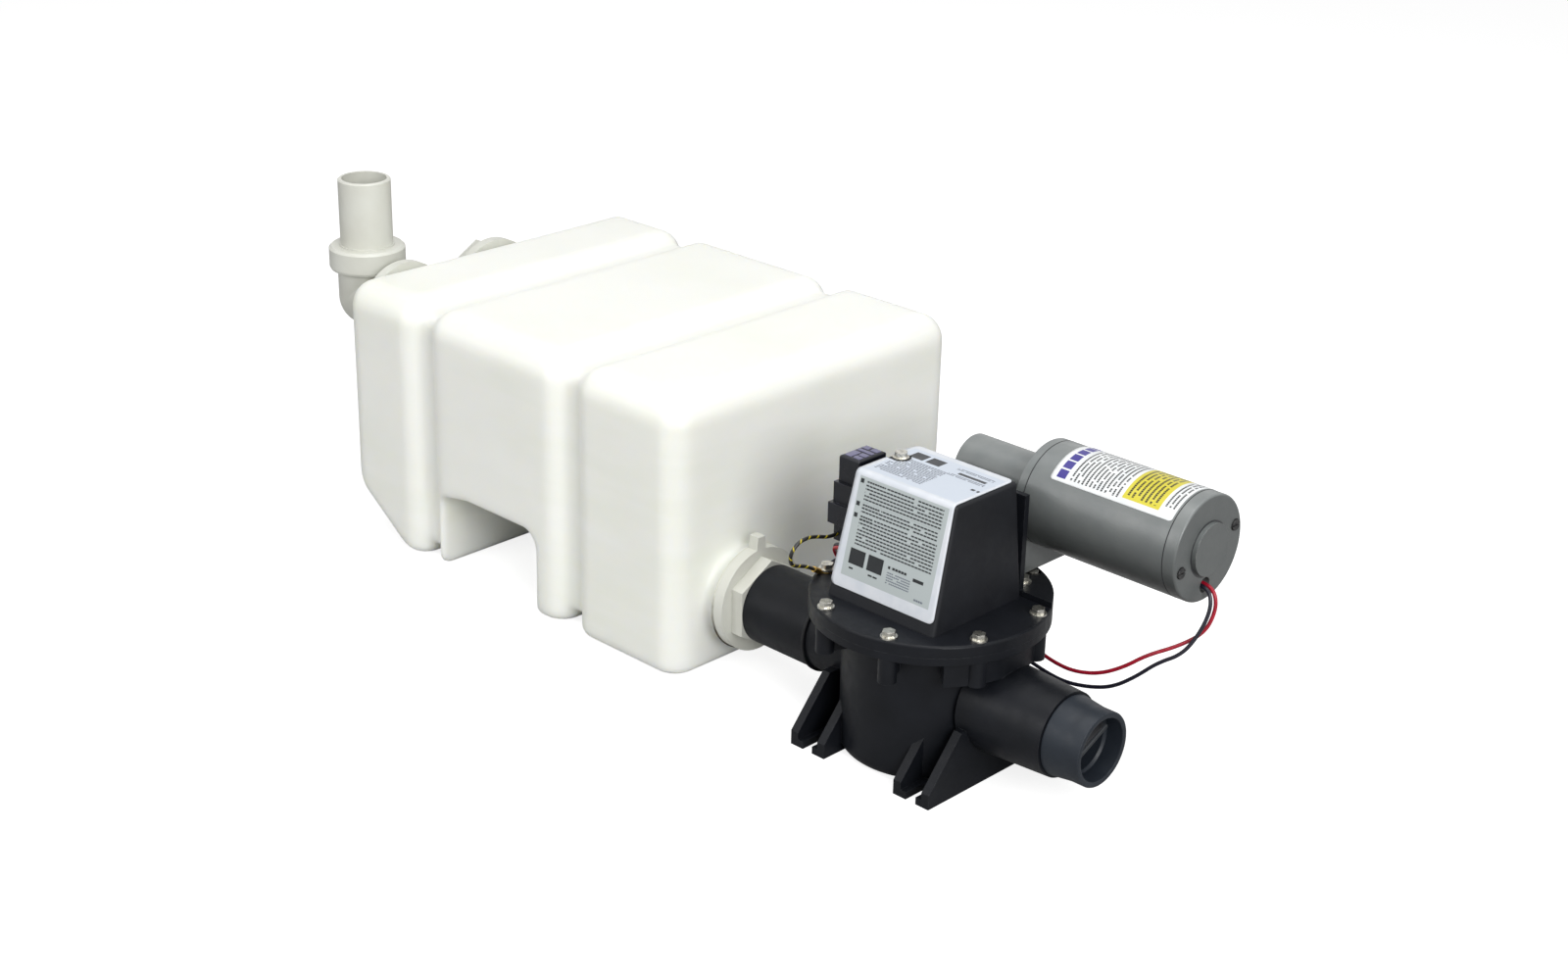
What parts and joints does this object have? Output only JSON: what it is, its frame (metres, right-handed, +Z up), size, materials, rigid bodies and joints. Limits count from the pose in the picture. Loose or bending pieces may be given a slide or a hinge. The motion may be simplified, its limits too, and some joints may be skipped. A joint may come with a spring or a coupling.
{
  "type": "toilet vacuum pump",
  "caption": "vacuum generator for a boat toilet: a bellows pump worked by a worm gear motor draws on a lobed white tank through one-way valves",
  "frame": {"origin": "on the floor under the axis of the pump's round body, midway between its foot rails", "axes": "+X runs along the flow from the tank to the outlet, +Y runs across from the open side of the pump to the motor's side, +Z is up"},
  "size_m": [0.7673, 0.2935, 0.255],
  "materials": {
    "tank_white": "translucent white rotationally moulded plastic",
    "fitting_white": "moulded white plastic",
    "pump_black": "moulded black plastic with a low sheen",
    "nozzle_grey": "dark grey pipe plastic",
    "cover_black": "satin black",
    "relay_black": "glossy black",
    "motor_grey": "grey enamel",
    "rubber": "matt black rubber",
    "bright_steel": "bright steel",
    "steel": "machined steel",
    "dark_steel": "dark steel",
    "brass": "turned bronze",
    "wire_red": "red insulation",
    "wire_black": "black insulation"
  },
  "bodies": {
    "base": {"tank_shell": "tank_white", "port_gaskets": "rubber", "outlet_bulkhead": "fitting_white", "inlet_bulkhead": "fitting_white", "spare_bulkhead": "fitting_white", "outlet_ring_nut": "fitting_white", "inlet_ring_nut": "fitting_white", "spare_ring_nut": "fitting_white", "outlet_hex_adapter": "fitting_white", "spare_cap": "fitting_white", "inlet_elbow": "fitting_white", "inlet_union_nut": "fitting_white", "inlet_stub": "fitting_white", "inlet_pipe": "pump_black", "outlet_nozzle": "nozzle_grey", "pump_body": "pump_black", "top_plate": "pump_black", "inlet_valve_first": "rubber", "inlet_valve_last": "rubber", "outlet_valve_first": "rubber", "outlet_valve_last": "rubber", "flange_screws": "bright_steel", "ground_screw": "bright_steel", "mounting_screws": "bright_steel", "ring_terminal": "brass", "bellows": "rubber", "shaft_bearings": "brass", "gearcase": "motor_grey", "gearcase_lid": "motor_grey", "gear_stand": "pump_black", "gearcase_screws": "steel", "worm_bearing": "brass", "rotor_rear_bearing": "brass", "motor_can": "motor_grey", "front_end_bell": "motor_grey", "end_cap": "motor_grey", "end_cap_screws": "dark_steel", "magnets": "dark_steel", "brushes": "rubber", "brush_holder": "pump_black", "lead_grommet": "rubber", "drive_cover": "cover_black", "cover_post": "steel", "relay_box": "relay_black", "relay_socket": "relay_black", "relay_bracket": "steel", "lead_red": "wire_red", "lead_black": "wire_black", "switch_lead": "wire_black"},
    "rotor": {"rotor_shaft": "steel", "armature_core": "dark_steel", "commutator": "brass"},
    "crank": {"worm_wheel": "brass", "output_shaft": "steel", "crank_disc": "steel"},
    "rod": {"connecting_rod": "pump_black", "rod_bearing": "brass", "bellows_discs": "steel", "bellows_bolt": "steel"}
  },
  "joints": [
    {"name": "armature_spin", "type": "hinge", "parent": "base", "child": "rotor", "pos_m": [0, 0.075, 0.165], "axis": [1, 0, 0], "continuous": true},
    {"name": "crank_spin", "type": "hinge", "parent": "base", "child": "crank", "pos_m": [0, 0.075, 0.139], "axis": [0, 1, 0], "continuous": true},
    {"name": "bellows_stroke", "type": "slide", "parent": "base", "child": "rod", "axis": [0, 0, 1], "range_m": [-0.02, 0], "deforming": ["bellows"]}
  ],
  "couplings": [
    {"joint": "crank_spin", "follows": "armature_spin", "ratio": -0.033333}
  ]
}
